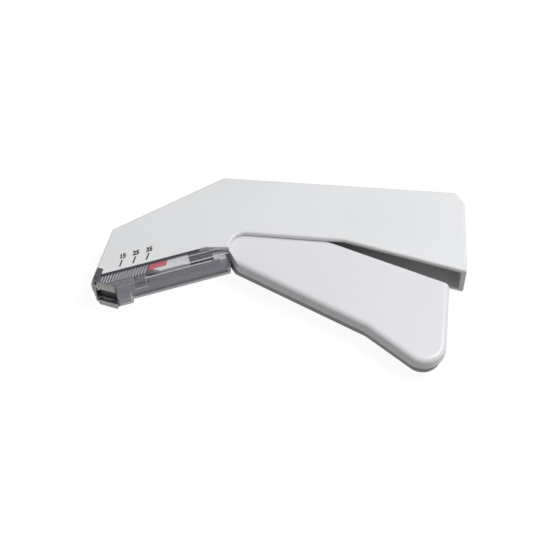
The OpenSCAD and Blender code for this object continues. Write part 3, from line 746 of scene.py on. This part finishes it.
def chamfer_tools():
    """Wedges that take off the lower corners of the body and of the head."""
    tools = []
    for depth, a0, a1 in ((COVER_D, HEAD_LEN, ROW_LEN + 2 * OVER), (HEAD_D, -4 * OVER, HEAD_LEN)):
        wedge = [(depth - CHAM_D - CHAM_OVER, -OVER), (depth + CHAM_OVER, CHAM_Z + OVER),
                 (depth + 3 * OVER, CHAM_Z + OVER), (depth + 3 * OVER, -OVER)]
        tools.append(beam_tool(wedge, row_at, a0, a1))
        tools.append(beam_tool([(d, WIDTH - z) for d, z in wedge], row_at, a0, a1))
    return tools


def cover_hollow():
    """The space for the row, its rail and its plate."""
    half = [(-2 * OVER, COVER_T), (COVER_D - CHAM_D - COVER_T / 3, COVER_T),
            (COVER_D - COVER_T, CHAM_Z + COVER_T / 3)]
    return beam_tool(half + [(d, WIDTH - z) for d, z in half[::-1]], row_at, HOLLOW_A0, ROW_LEN - COVER_T)


def mouth_tools():
    """The spaces for the driver and the mouth, for the nose plate, and for the anvil plate's tongue."""
    z0, z1 = HALF_W - MOUTH_Z / 2, HALF_W + MOUTH_Z / 2
    top, low = ROW_FRONT_S - 8 * OVER, MOUTH_S + OVER
    mouth = block((0, z0 - SEAT), (HEAD_W1, z1 + SEAT))
    plate = block((0, WALL + SEAT), (CAP_W0 + NOSE_T + SEAT, WIDTH - WALL - SEAT))
    tongue = block((COVER_D - COVER_T - OVER, z0), (COVER_D - COVER_T + OVER, z1))
    return [beam_tool(mouth, down_nose, top, low), beam_tool(plate, down_nose, top, low),
            beam_tool(tongue, row_at, -3 * OVER, HEAD_LEN + OVER)]


def magazine_cover():
    """The moulded cover: its side view given width, its lower corners cut off and its inside hollowed."""
    bm = bmesh.new()
    prism(bm, cover_side(), 0, WIDTH)
    cover = mesh_piece("clear_cover", bm, "clear_smoke")
    return soften(cut_away(cover, *chamfer_tools(), cover_hollow(), *mouth_tools()), COVER_EDGE, 1)


def hook_ears():
    """The two ears that fill the windows in the housing's sides."""
    bm = bmesh.new()
    for low, high in ((0, WALL - SEAT), (WIDTH - WALL + SEAT, WIDTH)):
        section = block((EAR_W0 + SEAT, low), (EAR_W1 - SEAT, high))
        beam(bm, section, down_nose, ROW_FRONT_S - EAR_S + SEAT, CAP_S0 - SEAT)
    return soften(mesh_piece("hook_ears", bm, "ear_smoke"), COVER_EDGE)


def seat_ledges():
    """The ledges that seat the cover between the walls of the housing, in a near-black that paints the shadow
    in the gap between cover and housing.
    """
    bm = bmesh.new()
    for section in LEDGES:
        beam(bm, section, row_at, LEDGE_A0, LEDGE_A1)
    for section in LEDGES:
        beam(bm, [(d, WIDTH - z) for d, z in section], row_at, LEDGE_A0, LEDGE_A1)
    return soften(mesh_piece("seat_ledges", bm, "seat_smoke"), LEDGE_EDGE)


def thicken(piece):
    """Puts the solid head of the moulding in a smoke that is darker than its hollow body."""
    piece.data.materials.append(finishes["thick_smoke"])
    for face in piece.data.polygons:
        place = Vector(face.center[:2]) / MM - ROW_FRONT
        if place.dot(ROW_DIR) < HEAD_LEN + SEAT and place.dot(ROW_DOWN) > THICK_D:
            face.material_index = 1


cover, ears, ledges = magazine_cover(), hook_ears(), seat_ledges()
thicken(cover)
for piece in (cover, ears, ledges):
    for face in piece.data.polygons:
        face.use_smooth = False
    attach(piece, "housing")
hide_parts("magazine_cover")


# Printed fill scale
FIGURES = ("15", "25", "35")
MARK_A, MARK_STEP, MARK_D = 13.63, 5.8, -1.25
MARK_LEN, MARK_W = 3.5, 0.62
FIGURE_SIZE, FIGURE_LEAN, FIGURE_WEIGHT = 2.8, 0.32, 0.16
FIGURE_SHIFT = Vector((2.3, -5.8))


def flat_figure(text):
    """A number of the scale as a flat mesh about its own middle."""
    data = bpy.data.curves.new("figure", "FONT")
    data.body = text
    data.size = FIGURE_SIZE * MM
    data.shear = FIGURE_LEAN
    data.offset = FIGURE_WEIGHT * MM
    data.align_x, data.align_y = "CENTER", "CENTER"
    data.resolution_u = 3
    written = bpy.data.objects.new("figure", data)
    bpy.context.scene.collection.objects.link(written)
    graph = bpy.context.evaluated_depsgraph_get()
    flat = bpy.data.meshes.new_from_object(written.evaluated_get(graph))
    bpy.data.objects.remove(written)
    return flat


def fill_scale():
    """The ticks and figures of the fill scale, as thin ink on the housing's side face."""
    bm = bmesh.new()
    for k, text in enumerate(FIGURES):
        foot = row_at(MARK_A + MARK_STEP * k, MARK_D)
        tip = foot - NOSE_DOWN * MARK_LEN
        half = NOSE_IN * MARK_W / 2
        prism(bm, [foot - half, tip - half, tip + half, foot + half], WIDTH - PRINT_T, WIDTH)
        flat = flat_figure(text)
        place = row_at(MARK_A + MARK_STEP * k + FIGURE_SHIFT.x, FIGURE_SHIFT.y)
        flat.transform(Matrix.Translation(in_space(place, WIDTH)) @ Matrix.Rotation(ROW_ANGLE, 4, "Z"))
        bm.from_mesh(flat)
        bpy.data.meshes.remove(flat)
    return mesh_piece("fill_scale", bm, "print_ink")


scale_print = fill_scale()
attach(scale_print, "housing")


# Staples and the ribs that guide them
WIRE_D = 0.5
STAPLE_GAP = 0.03
PITCH = (WIRE_D + STAPLE_GAP) / math.cos(2 * ROW_ANGLE)
STAPLES = 35
CROWN_Z = 7.0
LEG_LEN = 4.0
CROWN_D = 0.6
STAPLE_BEND = 0.6
STAPLE_W = WALL + 2 * SEAT + NOSE_T + WIRE_D / 2
GUIDE_A, GUIDE_D, GUIDE_LEN = 4.6, GROOVE + 0.35, 4.0
GUIDE_WIRE, GUIDE_Z = 0.34, 1.25
TRAVEL = 21.0
DRIVEN = 8.8
BLEND_REACH = 1.12
crown_at = meet(nose_at(STAPLE_W, 0), NOSE_DOWN, row_at(0, CROWN_D), ROW_DIR)


def put(tree, kind, settings=None, values=None):
    """A geometry node with its settings, and with its sockets set or linked."""
    made = tree.nodes.new("GeometryNode" + kind)
    for key, value in (settings or {}).items():
        setattr(made, key, value)
    for key, value in (values or {}).items():
        if isinstance(value, bpy.types.NodeSocket):
            tree.links.new(value, made.inputs[key])
        else:
            made.inputs[key].default_value = value
    return made.outputs[0]


def bent_wire_tree():
    """A row of bent wires from the centre line of the first."""
    tree = bpy.data.node_groups.new("bent_wire_row", "GeometryNodeTree")
    tree.interface.new_socket("Geometry", in_out="INPUT", socket_type="NodeSocketGeometry")
    for label, kind in (("Count", "Int"), ("Pitch", "Vector"), ("Radius", "Float"), ("Bend", "Float"),
                        ("Finish", "Material")):
        tree.interface.new_socket(label, in_out="INPUT", socket_type="NodeSocket" + kind)
    tree.interface.new_socket("Geometry", in_out="OUTPUT", socket_type="NodeSocketGeometry")
    given = tree.nodes.new("NodeGroupInput").outputs
    path = put(tree, "MeshToCurve", None, {"Mesh": given["Geometry"]})
    bent = put(tree, "FilletCurve", {"mode": "POLY"}, {"Curve": path, "Radius": given["Bend"], "Count": 4})
    section = put(tree, "CurvePrimitiveCircle", None, {"Resolution": 10, "Radius": given["Radius"]})
    wire = put(tree, "CurveToMesh", None, {"Curve": bent, "Profile Curve": section, "Fill Caps": True})
    line = put(tree, "MeshLine", {"mode": "OFFSET"}, {"Count": given["Count"], "Offset": given["Pitch"]})
    row = put(tree, "InstanceOnPoints", None, {"Points": line, "Instance": wire})
    real = put(tree, "RealizeInstances", None, {"Geometry": row})
    finish = put(tree, "SetMaterial", None, {"Geometry": real, "Material": given["Finish"]})
    tree.links.new(finish, tree.nodes.new("NodeGroupOutput").inputs[0])
    return tree


def wire_row(name, centre_line, count, wire, finish, pitch=PITCH):
    """Copies of a bent wire along the row, from the centre line of the first."""
    mesh = bpy.data.meshes.new(name)
    mesh.from_pydata(centre_line, [(k, k + 1) for k in range(len(centre_line) - 1)], [])
    mesh.materials.append(finishes[finish])
    obj = bpy.data.objects.new(name, mesh)
    bpy.context.scene.collection.objects.link(obj)
    step = obj.modifiers.new("row", "NODES")
    step.node_group = bent_wire_tree()
    sizes = {"Count": count, "Pitch": tuple(in_space(ROW_DIR * pitch, 0)), "Radius": wire * MM / 2,
             "Bend": STAPLE_BEND * MM, "Finish": finishes[finish]}
    for item in step.node_group.interface.items_tree:
        if item.in_out == "INPUT" and item.name in sizes:
            step[item.identifier] = sizes[item.name]
    made = finished(obj)
    for face in made.data.polygons:
        face.use_smooth = True
    made.data.set_sharp_from_angle(angle=math.radians(WIRE_SHARP))
    return made


def staples(name, first, count):
    """A row of staples, the first one a number of pitches behind the driver."""
    crown = crown_at + ROW_DIR * PITCH * first
    foot = crown + NOSE_DOWN * (LEG_LEN - WIRE_D / 2)
    z0, z1 = HALF_W - CROWN_Z / 2 + WIRE_D / 2, HALF_W + CROWN_Z / 2 - WIRE_D / 2
    centre_line = [in_space(foot, z0), in_space(crown, z0), in_space(crown, z1), in_space(foot, z1)]
    return wire_row(name, centre_line, count, WIRE_D, "staple_wire")


def guide_ribs(name, z):
    """Fine slanted ribs inside a side wall of the cover, one at every second staple."""
    top = row_at(GUIDE_A, GUIDE_D)
    centre_line = [in_space(top, z), in_space(top + NOSE_DOWN * GUIDE_LEN, z)]
    return wire_row(name, centre_line, STAPLES // 2, GUIDE_WIRE, "rib_grey", 2 * PITCH)


for side, rib_z in (("lower", GUIDE_Z), ("upper", WIDTH - GUIDE_Z)):
    ribs = guide_ribs("guide_ribs_" + side, rib_z)
    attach(ribs, "housing")
stack = staples("staple_row", 1, STAPLES - 1)
ready = staples("staple_under_driver", 0, 1)
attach(ready, "housing")
for piece, node in ((stack, "staple_stack"), (ready, "ready_staple")):
    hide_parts(node)
# Where the row's back end comes when it closes up square to the planes of its legs, and where the ready
# staple comes when driven down ahead of the blade
across_legs = (ROW_DIR - NOSE_DOWN * ROW_DIR.dot(NOSE_DOWN)).normalized()
row_span = BLEND_REACH * (STAPLES - 1) * PITCH * ROW_DIR.dot(across_legs)
row_back = crown_at + across_legs * row_span
driven_at = crown_at + NOSE_DOWN * DRIVEN
tuple(in_space(crown_at, HALF_W))
tuple(in_space(row_back, HALF_W))
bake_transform(stack)
tuple(in_space(driven_at, HALF_W))
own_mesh(ready)


# Swept wires: the painted highlight lines on the cover and the feed spring
def sweep(name, points, radius, finish, sides):
    """A smooth wire of even thickness along a path of points in millimetres."""
    bm = bmesh.new()
    rows = []
    normal = None
    for i, point in enumerate(points):
        way = (points[min(i + 1, len(points) - 1)] - points[max(i - 1, 0)]).normalized()
        normal = normal or way.orthogonal().normalized()
        normal = (normal - way * normal.dot(way)).normalized()
        across = way.cross(normal)
        spokes = [ray(2 * math.pi * k / sides) * radius for k in range(sides)]
        rows.append([bm.verts.new((point + normal * spoke.x + across * spoke.y) * MM) for spoke in spokes])
    skin(bm, rows)
    return mesh_piece(name, bm, finish, WIRE_SHARP)


# Sizes and places of the painted highlight lines on the cover
LINE_R, SPRING_LINE_R, WINDOW_LINE_R = 0.2, 0.14, 0.12
LINE_SUNK, CHAMFER_SUNK = 0.02, 0.08
CORNER_LINE_A, CORNER_LINE_END = 40.0, 0.6
CHAMFER_LINE_A1 = 52.0
SPRING_LINE_A, SPRING_LINE_END, SPRING_LINE_D = 40.7, 3.4, 2.3
WINDOW_A0, WINDOW_A1, WINDOW_Z = HEAD_LEN + 1.0, HEAD_LEN + 6.2, 9.6


def painted_highlight_lines():
    """Painted highlight lines on the clear cover, swept as thin near-white raised strokes: along its lower
    edge, round its window, over the spring.
    """
    corner = (COVER_D - CHAM_D, WIDTH - LINE_R)
    front = (COVER_D - LINE_SUNK, WIDTH - CHAM_Z)
    middle = (COVER_D - CHAM_D / 2, WIDTH - CHAM_Z / 2 - CHAMFER_SUNK)
    over_spring = (SPRING_LINE_D, WIDTH - SPRING_LINE_R)
    sill = (COVER_D - LINE_SUNK, WINDOW_Z)
    window = [(WINDOW_A0, *place) for place in (corner, front, sill)]
    window += [(WINDOW_A1, *place) for place in (sill, front, corner)]
    lines = ((LINE_R, [(CORNER_LINE_A, *corner), (ROW_LEN - CORNER_LINE_END, *corner)]),
             (LINE_R, [(WINDOW_A1, *middle), (CHAMFER_LINE_A1, *middle)]),
             (SPRING_LINE_R, [(SPRING_LINE_A, *over_spring), (ROW_LEN - SPRING_LINE_END, *over_spring)]),
             (WINDOW_LINE_R, window))
    bm = bmesh.new()
    for radius, line in lines:
        highlight_stroke = sweep("highlight_stroke", [Vector((*row_at(a, d), z)) for a, d, z in line], radius, "edge_smoke", 8)
        bm.from_mesh(highlight_stroke.data)
        bpy.data.objects.remove(highlight_stroke)
    return mesh_piece("painted_highlight_lines", bm, "edge_smoke", WIRE_SHARP)


highlight_lines = painted_highlight_lines()
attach(highlight_lines, "housing")

CROWN_TOP, CROWN_LOW = CROWN_D - WIRE_D / 2, CROWN_D + WIRE_D / 2
RAIL_D = CROWN_LOW + SEAT
PLATE_T = 0.5
LEG_LOW = CROWN_TOP + LEG_LEN * math.cos(2 * ROW_ANGLE)
BED_GAP = 1.2
BED_D = LEG_LOW + BED_GAP
PLUG_LEN = 2.4 * WALL
PUSHER_SHARE = 0.6
PUSHER_A0 = (crown_at - ROW_FRONT).dot(ROW_DIR) + STAPLES * PITCH + CROWN_D * math.tan(2 * ROW_ANGLE)
PLUG_A0 = ROW_LEN - COVER_T - SEAT - PLUG_LEN
PUSHER_A1 = PUSHER_A0 + PUSHER_SHARE * (PLUG_A0 - PUSHER_A0)
FEED_WIRE = 0.45
FEED_CURLS = 10
FEED_STEPS = 20
FEED_D = BED_D - RAIL_D - PLATE_T - 2 * SEAT
FEED_R = (FEED_D - FEED_WIRE) / 2
FEED_A0, FEED_A1 = PUSHER_A1 + SEAT + FEED_WIRE, PLUG_A0 - SEAT - FEED_WIRE


def feed_spring():
    """The wound spring between the pusher and the plug."""
    points = []
    middle = RAIL_D + PLATE_T + FEED_D / 2 + SEAT
    for i in range(FEED_CURLS * FEED_STEPS + 1):
        turn = 2 * math.pi * i / FEED_STEPS
        a = FEED_A0 + (FEED_A1 - FEED_A0) * i / (FEED_CURLS * FEED_STEPS)
        place = row_at(a, middle - FEED_R * math.sin(turn))
        points.append(Vector((*place, HALF_W + FEED_R * math.cos(turn))))
    return sweep("feed_coil", points, FEED_WIRE / 2, "spring_steel", 10)


coil = feed_spring()
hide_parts("feed_spring")
tuple(in_space(row_at(FEED_A1, RAIL_D), HALF_W))
tuple(in_space(row_at(FEED_A0, RAIL_D), HALF_W))
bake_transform(coil)


# Pusher, its red flags and the throat behind the mouth
FLAG_LEN, FLAG_TOP, FLAG_LOW = 7.6, 0.2, 2.9
FLAG_AHEAD = 0.1
PUSHER_EDGE, THROAT_EDGE = 0.15, 0.1
FLAG_Z, SADDLE_Z = 7.5, 7.3
MIDDLE_Z = MOUTH_Z / 2 - SEAT
RAIL_HALF = 2.85
FEED_HALF = 1.75
SADDLE_D = 0.3
SADDLE_PLAY = 0.1
SADDLE_NOSE_GAP = 1.9
THROAT_S0, THROAT_S1 = CAP_S0 - 1.5, CAP_S0 - 1.0
# The two strips of the throat, behind and before the staple's path
THROAT_STRIPS = ((STAPLE_W + 0.6, HEAD_W1 - 0.4), (CAP_W0 + 0.1, STAPLE_W - 0.4))


def leaning(low_d, high_d, start, end, lean_end=False):
    """A side view in the row's axes whose front leans with the staples."""
    lean = math.tan(2 * ROW_ANGLE)
    back = lean if lean_end else 0
    return [row_at(start - low_d * lean, low_d), row_at(end - low_d * back, low_d),
            row_at(end - high_d * back, high_d), row_at(start - high_d * lean, high_d)]


def pusher_block():
    """The saddle that rides over the rail, its lower front cut clear of the nose at full feed."""
    bm = bmesh.new()
    side = leaning(SADDLE_D, BED_D - 2 * SEAT, PUSHER_A0, PUSHER_A1)
    prism(bm, side, HALF_W - SADDLE_Z, HALF_W + SADDLE_Z)
    saddle = mesh_piece("pusher_saddle", bm, "pale_plastic")
    rail = block((RAIL_D - SADDLE_PLAY, HALF_W - RAIL_HALF - SEAT),
                 (LEG_LOW + SADDLE_PLAY, HALF_W + RAIL_HALF + SEAT))
    spring = block((RAIL_D, HALF_W - FEED_HALF), (BED_D + OVER, HALF_W + FEED_HALF))
    tools = [beam_tool(section, row_at, PUSHER_A0 - 6 * OVER, PUSHER_A1 + OVER) for section in (rail, spring)]
    fed_nose = beam_tool(block((-5 * OVER, -OVER), (HEAD_W1 + OVER, WIDTH + OVER)), down_nose,
                         CAP_S0 - SADDLE_NOSE_GAP, CAP_S0 + 6 * OVER)
    fed_nose.data.transform(Matrix.Translation(in_space(ROW_DIR * TRAVEL, 0)))
    return soften(cut_away(saddle, *tools, fed_nose), PUSHER_EDGE)


def red_flags():
    """The two red flags at the pusher's sides, which show how far the row has fed."""
    bm = bmesh.new()
    side = leaning(FLAG_TOP, FLAG_LOW, PUSHER_A0 - FLAG_AHEAD, PUSHER_A0 + FLAG_LEN, True)
    prism(bm, side, HALF_W - FLAG_Z, HALF_W - MIDDLE_Z)
    prism(bm, side, HALF_W + MIDDLE_Z, HALF_W + FLAG_Z)
    return soften(mesh_piece("red_flags", bm, "red_plastic"), PUSHER_EDGE)


def throat_plate():
    """The steel bed behind the staple mouth, in a near-black that paints the shade inside the mouth."""
    bm = bmesh.new()
    for near, far in THROAT_STRIPS:
        section = block((near, HALF_W - MIDDLE_Z), (far, HALF_W + MIDDLE_Z))
        beam(bm, section, down_nose, THROAT_S0, THROAT_S1)
    return soften(mesh_piece("throat_plate", bm, "throat_steel"), THROAT_EDGE)


for piece, body, slot, node in (
        (pusher_block(), "pusher", "pale_plastic", "staple_pusher"),
        (red_flags(), "pusher", "red_plastic", "pusher_indicator"),
        (throat_plate(), "housing", "anvil_steel", None)):
    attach(piece, body)
    if node:
        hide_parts(node)


# Worn edges on the plain working parts
SAME_PLACE = 0.000002
FLAT_DEGREES = 0.5
# How wide each part's edges are eased, by the body that it rides on
EASED = {
    "housing": {"nose_plate": 0.08, "anvil_plate": 0.08, "staple_rail": 0.08, "magazine_plug": 0.15,
                "ejector_spring": 0.04},
    "driver": {"driver_blade": 0.06, "driver_carriage": 0.15},
    "trigger": {"trigger_arm": 0.1},
}


def eased(node, width):
    """A copy of a solid part with its edges eased."""
    bm = bmesh.new()
    bm.from_mesh(frame["nodes"][node].data)
    bmesh.ops.remove_doubles(bm, verts=bm.verts, dist=SAME_PLACE)
    bmesh.ops.dissolve_limit(bm, angle_limit=math.radians(FLAT_DEGREES), verts=bm.verts, edges=bm.edges)
    made = soften(mesh_piece(node + "_eased", bm, slots[node]), width)
    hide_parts(node)
    return made


for body, parts in EASED.items():
    for node, width in parts.items():
        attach(eased(node, width), body)


# World and floor
WORLD_LIGHT = 0.3
FLOOR_DROP = 0.00002
FLOOR_HALF = 4.0
PAPER_GREY, SHADOW_GREY = 0.8, 0.3
PAPER_GLOW, GLOW_SHARE = 1.1, 0.84


def seen_white(tree):
    """1 for the rays that see the white backdrop: the camera's, and those in gloss and glass."""
    path = tree.nodes.new("ShaderNodeLightPath")
    factor = path.outputs["Is Camera Ray"]
    for ray_kind in ("Is Glossy Ray", "Is Transmission Ray"):
        highest = tree.nodes.new("ShaderNodeMath")
        highest.operation = "MAXIMUM"
        tree.links.new(factor, highest.inputs[0])
        tree.links.new(path.outputs[ray_kind], highest.inputs[1])
        factor = highest.outputs[0]
    return factor


world = bpy.data.worlds.new("studio")
bpy.context.scene.world = world
world.use_nodes = True
sky = world.node_tree
strength = sky.nodes.new("ShaderNodeMapRange")
strength.inputs["To Min"].default_value = WORLD_LIGHT
strength.inputs["To Max"].default_value = 1.0
sky.links.new(seen_white(sky), strength.inputs["Value"])
sky.links.new(strength.outputs[0], sky.nodes["Background"].inputs["Strength"])
sky.nodes["Background"].inputs["Color"].default_value = (1, 1, 1, 1)

floor_mesh = bpy.data.meshes.new("floor")
floor_corners = [(x * FLOOR_HALF, y * FLOOR_HALF, -FLOOR_DROP) for x, y in block((-1, -1), (1, 1))]
floor_mesh.from_pydata(floor_corners, [], [(0, 1, 2, 3)])
floor = bpy.data.objects.new("floor", floor_mesh)
bpy.context.scene.collection.objects.link(floor)
paper = Finish("white_paper", Base_Color=grey(PAPER_GREY), Roughness=0.8)
seen = Wire(paper, seen_white(paper.tree))
lit = Wire(paper, paper.shader.outputs[0])
glow = paper.node("Emission", None, {"Color": (1, 1, 1, 1), "Strength": PAPER_GLOW})
backdrop = paper.node("MixShader", None, {0: GLOW_SHARE, 1: lit, 2: glow})
shadow = paper.node("BsdfDiffuse", None, {"Color": grey(SHADOW_GREY)})
shown = paper.node("MixShader", None, {0: seen, 1: shadow, 2: backdrop})
paper.tree.links.new(shown.socket, paper.tree.nodes["Material Output"].inputs["Surface"])
floor_mesh.materials.append(paper.material)

bpy.context.scene.view_settings.view_transform = "Standard"
